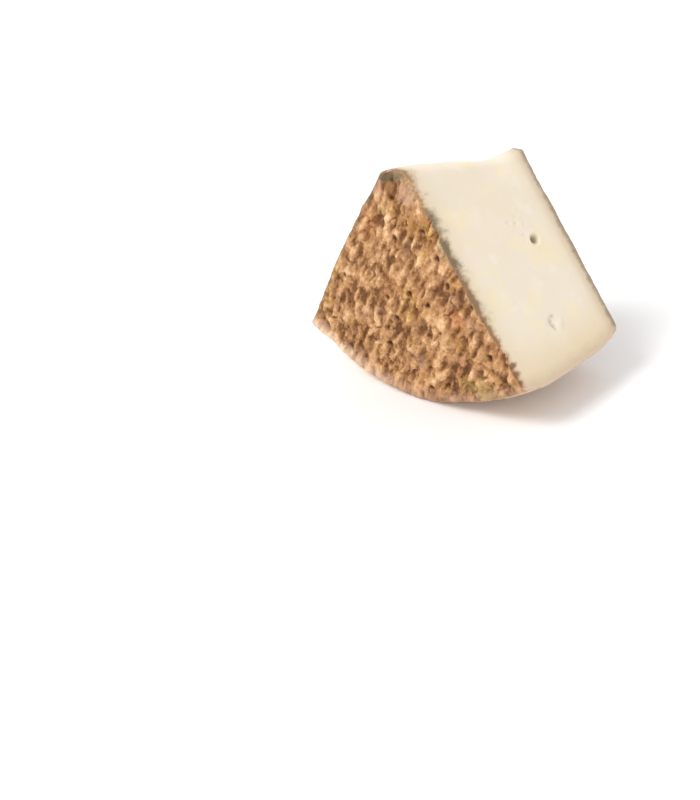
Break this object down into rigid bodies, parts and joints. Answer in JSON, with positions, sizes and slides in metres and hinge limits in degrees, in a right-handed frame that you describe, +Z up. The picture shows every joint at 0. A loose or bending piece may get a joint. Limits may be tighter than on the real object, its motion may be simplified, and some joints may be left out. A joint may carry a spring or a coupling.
{
  "type": "cheese wedge",
  "caption": "Hand-cut wedge of semi-hard rinded cheese with a basket-marked face, standing on its curved rind.",
  "frame": {"origin": "middle of the wedge's bounding box, on the surface that its curved rind stands on", "axes": "+Z up, towards the wedge's tip; Y along the axis of the wheel it was cut from, with the basket-marked face towards -Y; +X towards the upright cut face"},
  "size_m": [0.1139, 0.066, 0.094],
  "materials": {
    "rinded_cheese": "ivory cut paste with a soft satin, and a dry matt tan-brown rind with a basket imprint"
  },
  "bodies": {
    "root": {"cheese_wedge": "rinded_cheese"}
  },
  "joints": []
}
